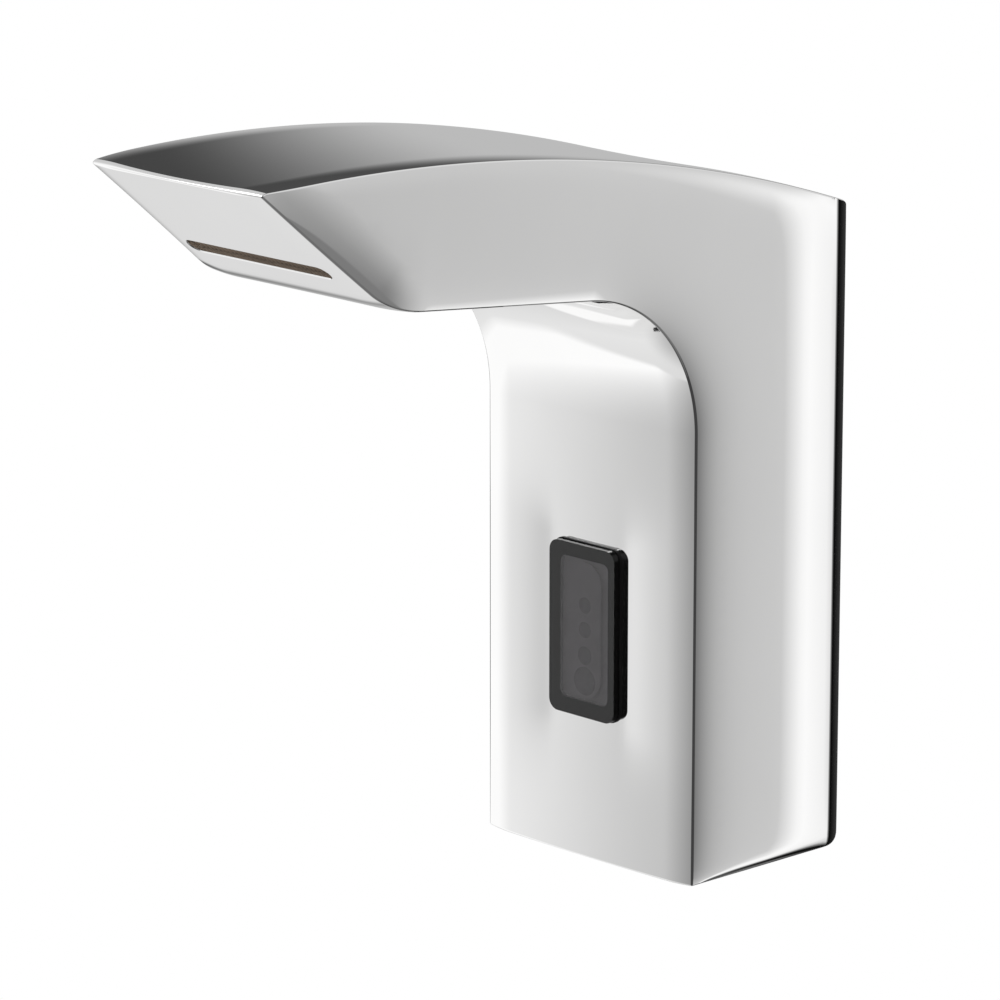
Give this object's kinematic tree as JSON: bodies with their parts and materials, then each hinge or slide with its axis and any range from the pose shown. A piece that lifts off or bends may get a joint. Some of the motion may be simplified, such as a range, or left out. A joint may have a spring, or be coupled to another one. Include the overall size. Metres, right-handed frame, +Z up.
{
  "type": "wall-mounted sensor tap",
  "caption": "Wall-mounted sensor tap: polished chrome inverted-L body with an arched, tapering spout, a slit outlet in its sloping nose and an infrared window low on the front.",
  "frame": {"origin": "centre of the water inlet where it leaves the plane of the wall", "axes": "+Z up, +Y into the wall, -Y along the spout towards the user, +X to the right of someone who faces the wall"},
  "size_m": [0.0808, 0.2258, 0.203],
  "materials": {
    "chrome": "polished",
    "black_gloss": "gloss",
    "smoked_window": "clear",
    "carrier_grey": "matte",
    "diode_dark": "gloss",
    "circuit": "satin",
    "case_black": "matte",
    "case_grey": "matte",
    "nozzle_brown": "satin",
    "valve_white": "satin",
    "rubber": "matte",
    "hose": "satin",
    "lead_sleeve": "satin",
    "steel": "brushed",
    "iron": "satin",
    "brass": "machined",
    "coil_resin": "gloss",
    "battery_sleeve": "gloss"
  },
  "bodies": {
    "tap": {"battery": "battery_sleeve", "battery_box": "case_grey", "battery_contacts": "brass", "battery_cover": "case_grey", "battery_lead": "lead_sleeve", "bonnet_screws": "steel", "check_valve_body": "valve_white", "check_valve_retainer": "valve_white", "check_valve_spring": "steel", "coil_lead": "lead_sleeve", "coil_nut": "iron", "coil_yoke": "iron", "control_board": "circuit", "control_case": "case_black", "control_cover": "case_grey", "control_screws": "steel", "diaphragm": "rubber", "flow_regulator": "valve_white", "grub_screws": "steel", "hose_clips": "steel", "inlet_nipple": "brass", "inlet_o_ring": "rubber", "inlet_strainer": "steel", "ir_emitters": "diode_dark", "ir_receiver": "diode_dark", "latch_magnet": "iron", "near_detector": "diode_dark", "nozzle_seal": "rubber", "outlet_hose": "hose", "outlet_nozzle": "nozzle_brown", "plunger_spring": "steel", "sensor_bezel": "black_gloss", "sensor_board": "circuit", "sensor_carrier": "carrier_grey", "sensor_case": "case_black", "sensor_clamp": "steel", "sensor_lead": "lead_sleeve", "sensor_lens": "smoked_window", "sensor_screws": "steel", "sensor_seal": "rubber", "solenoid_coil": "coil_resin", "spout_body": "chrome", "valve_body": "brass", "valve_bonnet": "case_black", "valve_screws": "steel", "wall_gasket": "rubber", "wall_plate": "steel", "wall_screws": "steel"},
    "plunger": {"plunger": "iron", "plunger_seal": "rubber"},
    "pilot_disc": {"diaphragm_core": "valve_white"},
    "poppet": {"check_valve_poppet": "valve_white", "check_valve_washer": "rubber"}
  },
  "joints": [
    {"name": "plunger_slide", "type": "slide", "parent": "tap", "child": "plunger", "axis": [0, 0, -1], "range_m": [0, 0.0024], "stiffness_N_per_m": 200, "springref_m": -0.003, "deforming": ["plunger_spring"]},
    {"name": "pilot_disc_slide", "type": "slide", "parent": "tap", "child": "pilot_disc", "axis": [0, 0, -1], "range_m": [0, 0.0015], "deforming": ["diaphragm"]},
    {"name": "poppet_slide", "type": "slide", "parent": "tap", "child": "poppet", "axis": [0, -1, 0], "range_m": [0, 0.002], "stiffness_N_per_m": 150, "springref_m": -0.002, "deforming": ["check_valve_spring"]}
  ],
  "couplings": [
    {"joint": "pilot_disc_slide", "follows": "plunger_slide", "ratio": 0.6}
  ]
}
